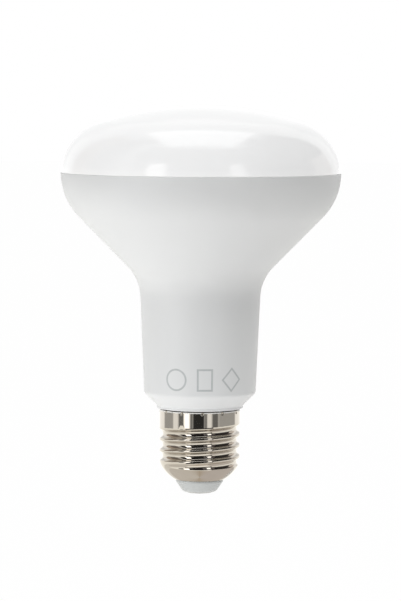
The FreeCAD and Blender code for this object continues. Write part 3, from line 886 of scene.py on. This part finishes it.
# Patches of the floor that only reflections see: azimuths, inner and outer radius, and the tone
patches = {
    "nearFrontPatch": (-40, 40, 0.045, 0.15, (1.3, 1.27, 1.2)),
    "farFrontPatch": (-40, 40, 0.15, 0.61, (0.05, 0.047, 0.045)),
    "nearLeftPatch": (-160, -40, 0.1, 0.17, (0.95, 0.92, 0.86)),
    "nearBackPatch": (160, 200, 0.1, 0.17, (0.95, 0.92, 0.86)),
    "farBackPatch": (40, 320, 0.17, 0.61, (1.22, 1.2, 1.13)),
}
patchHeight = stageValues["floor"] + 0.0005


# A patch of one tone between two radii, with a point every 5 degrees
def makePatch(name, values):
    start, stop, inner, outer, tone = values
    count = int((stop - start) / 5) + 1
    turn = np.radians(np.linspace(start, stop, count))
    index = np.arange(count - 1)
    rows = [circleRow(turn, inner, patchHeight), circleRow(turn, outer, patchHeight)]
    faces = np.stack([index, count + index, count + index + 1, index + 1], axis=1)
    return onlyReflected(stageMesh(name, np.concatenate(rows), faces, glowMaterial(name, tone)))


for name, values in patches.items():
    makePatch(name, values)

# The patch right under the cap, painted light and shade of the floor that only reflections see: how
# far it reaches to the front, to the back and to the right, the sines and cosines from which it
# does, and its tones to the left, to the right and along the middle, lighter to the left and
# darkest along the middle, where the lamp shades the floor
floorShadePatch = {
    "height": stageValues["floor"] + 0.001,
    "hole": 0.002,
    "front": 0.045,
    "frontFrom": 0.77,
    "right": 0.17,
    "rightFrom": 0.6,
    "back": 0.1,
    "leftTone": (0.80, 0.76, 0.71),
    "rightTone": (0.70, 0.65, 0.62),
    # painted shade of the floor right under the lamp
    "middleShadeTone": (0.60, 0.52, 0.43),
}


# A disc of painted floor light and shade, whose tone eases from the left to the right, and towards
# its middle line
def makeFootPatch(v):
    turn = np.radians(np.arange(0, 360, 5.0))
    side, ahead = np.sin(turn), np.cos(turn)
    reach = np.where(side > v["rightFrom"], v["right"], v["back"])
    reach = np.where(ahead > v["frontFrom"], v["front"], reach)
    toRight = ease(0.5 + side)[:, None]
    edge = np.array(v["leftTone"]) * (1 - toRight) + np.array(v["rightTone"]) * toRight
    middle = ((1 - np.abs(side)) ** 2)[:, None]
    tone = edge * (1 - middle) + np.array(v["middleShadeTone"]) * middle
    count = len(turn)
    index = np.arange(count)
    after = (index + 1) % count
    rows = [circleRow(turn, v["hole"], v["height"]), circleRow(turn, reach, v["height"])]
    faces = np.stack([index, count + index, count + after, after], axis=1)
    patch = stageMesh("floorShadePatch", np.concatenate(rows), faces, glowMaterial("floorShadePatch"))
    keepTones(onlyReflected(patch), np.concatenate([tone, tone]))


makeFootPatch(floorShadePatch)


# Floor: plain and pale; the camera sees mostly its white, and the rest of it is lit and shadowed
def makeFloor(v):
    graph = newGraph("paleFloor")
    graph.tree.nodes.clear()
    plain = graph.node("ShaderNodeBsdfDiffuse", {}, {"Color": v["floorTone"]})
    glow = graph.node("ShaderNodeEmission", {}, {"Color": (1, 1, 1, 1)})
    white = graph.node("ShaderNodeLightPath", output="Is Camera Ray") * v["floorWhite"]
    both = graph.node("ShaderNodeMixShader", {}, {"Fac": white, 1: plain, 2: glow})
    graph.node("ShaderNodeOutputMaterial", {}, {"Surface": both})
    corners = levelSquare(v["floorHalf"], 0, v["floor"])
    return stageMesh("floor", corners, [(0, 1, 2, 3)], graph.holder)


makeFloor(stageValues)

# Soft lights: place, the point they are aimed at, width and height in metres, and power in watts
lights = {
    "topLight": ((0.17, -0.17, 0.74), (0, 0, 0.1), (0.35, 0.35), 1.55),
    "highLight": ((0.36, -0.42, 0.66), (0, 0, 0.11), (0.4, 0.4), 1.0),
    "leftLight": ((-0.62, -0.45, 0.22), (0, 0, 0.07), (0.35, 0.5), 2.15),
    "floorLight": ((-0.07, -0.02, -0.055), (-0.07, -0.02, 0.1), (0.36, 0.4), 0.42),
}


# A rectangular light that neither the camera nor reflections see, turned towards its point
def softLight(name, values):
    place, target, size, power = values
    light = bpy.data.lights.new(name, "AREA")
    light.shape = "RECTANGLE"
    light.size, light.size_y = size
    light.energy = power
    piece = bpy.data.objects.new(name, light)
    bpy.context.collection.objects.link(piece)
    offset = np.array(target) - np.array(place)
    flat = math.hypot(offset[0], offset[1])
    piece.rotation_euler = (math.atan2(flat, -offset[2]), 0, math.atan2(-offset[0], offset[1]))
    piece.location = place
    piece.visible_camera = False
    piece.visible_glossy = False
    return piece


for name, values in lights.items():
    softLight(name, values)


# World: white for the camera, for reflections and for what shows through, and else a grey light
def makeWorld(v):
    world = bpy.data.worlds.new("studio")
    bpy.context.scene.world = world
    graph = Graph(world)
    graph.tree.nodes.clear()
    seen = graph.node("ShaderNodeLightPath", output="Is Camera Ray")
    for ray in ("Is Glossy Ray", "Is Transmission Ray"):
        seen = seen.combine("MAXIMUM", graph.node("ShaderNodeLightPath", output=ray))
    tone = graph.mixed(seen, v["ambient"], (1, 1, 1, 1))
    back = graph.node("ShaderNodeBackground", {}, {"Color": tone})
    graph.node("ShaderNodeOutputWorld", {}, {"Surface": back})


makeWorld(stageValues)
print("stage done")


# Camera: in front and a little above the crown, tilted down to its aim, then rolled a little
def makeCamera(v):
    lens = bpy.data.cameras.new("camera")
    lens.lens = v["lens"]
    lens.shift_x, lens.shift_y = v["shift"]
    lens.clip_end = v["farthest"]
    camera = bpy.data.objects.new("camera", lens)
    bpy.context.collection.objects.link(camera)
    camera.location = v["camera"]
    drop = math.atan2(v["camera"][2] - v["aim"], -v["camera"][1])
    tilt = Matrix.Rotation(math.pi / 2 - drop, 3, "X") @ Matrix.Rotation(v["roll"], 3, "Z")
    camera.rotation_euler = tilt.to_euler()
    bpy.context.scene.camera = camera


makeCamera(stageValues)
bpy.context.scene.view_settings.view_transform = "Standard"
print("camera done")
